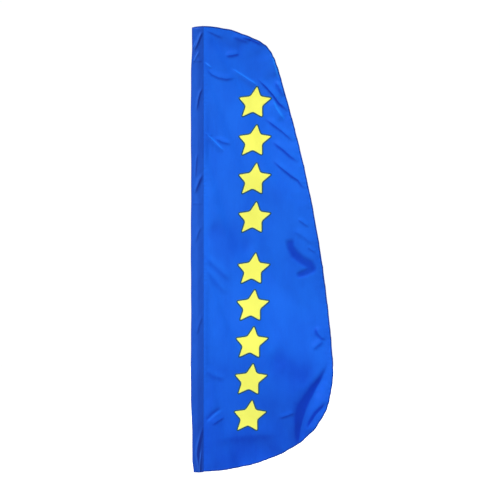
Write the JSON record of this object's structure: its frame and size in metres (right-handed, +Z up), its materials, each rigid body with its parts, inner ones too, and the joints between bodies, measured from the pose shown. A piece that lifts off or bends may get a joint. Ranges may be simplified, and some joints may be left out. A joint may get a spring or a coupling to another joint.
{
  "type": "feather flag",
  "caption": "Tall narrow cloth flag with a straight pole sleeve, a curved crown and a rounded foot, sewn stars down its face, on a plug-together pole hidden in the sleeve.",
  "frame": {"origin": "centre of the pole's foot, where the ground stake's spindle enters it", "axes": "+Z up along the pole, +X from the pole towards the flag's fly edge, and the flag's face looks along -Y"},
  "size_m": [0.777, 0.0457, 2.4384],
  "materials": {
    "panel_cloth": "light plain-woven nylon, soft sheen",
    "sleeve_cloth": "the same nylon, double",
    "hem_cloth": "the same nylon, folded and stitched",
    "star_cloth": "thin yellow nylon, satin-stitched edge",
    "webbing": "ribbed polyester webbing",
    "aluminium": "drawn, satin",
    "steel": "bright",
    "brass": "pressed, polished",
    "black_plastic": "moulded",
    "fibreglass": "pultruded, waxy"
  },
  "bodies": {
    "lower_pole": {"foot_socket": "black_plastic", "lower_tube": "aluminium"},
    "middle_pole": {"middle_tube": "aluminium", "middle_ferrule": "aluminium", "ferrule_rivet_front": "steel", "ferrule_rivet_back": "steel"},
    "upper_pole": {"upper_reducer": "black_plastic", "rod_pin": "steel", "pole_rod": "fibreglass"},
    "tip_swivel": {"tip_cap": "black_plastic"},
    "flag": {"main_panel": "panel_cloth", "pole_sleeve": "sleeve_cloth", "sleeve_cuff": "sleeve_cloth", "edge_hem": "hem_cloth", "tip_pocket": "webbing", "mouth_facing": "webbing", "tie_down_loop": "webbing", "tie_down_eyelet": "brass", "star_1": "star_cloth", "star_2": "star_cloth", "star_3": "star_cloth", "star_4": "star_cloth", "star_5": "star_cloth", "star_6": "star_cloth", "star_7": "star_cloth", "star_8": "star_cloth", "star_9": "star_cloth"}
  },
  "joints": [
    {"name": "middle_pole_plug", "type": "slide", "parent": "lower_pole", "child": "middle_pole", "axis": [0, 0, 1], "range_m": [0, 0.1]},
    {"name": "upper_pole_plug", "type": "slide", "parent": "middle_pole", "child": "upper_pole", "axis": [0, 0, 1], "range_m": [0, 0.1]},
    {"name": "flag_swivel", "type": "hinge", "parent": "upper_pole", "child": "tip_swivel", "pos_m": [0, 0, 2.4], "axis": [0, 0, 1], "continuous": true},
    {"name": "flag_lift", "type": "slide", "parent": "tip_swivel", "child": "flag", "axis": [0, 0, 1], "range_m": [0, 2.42]}
  ]
}
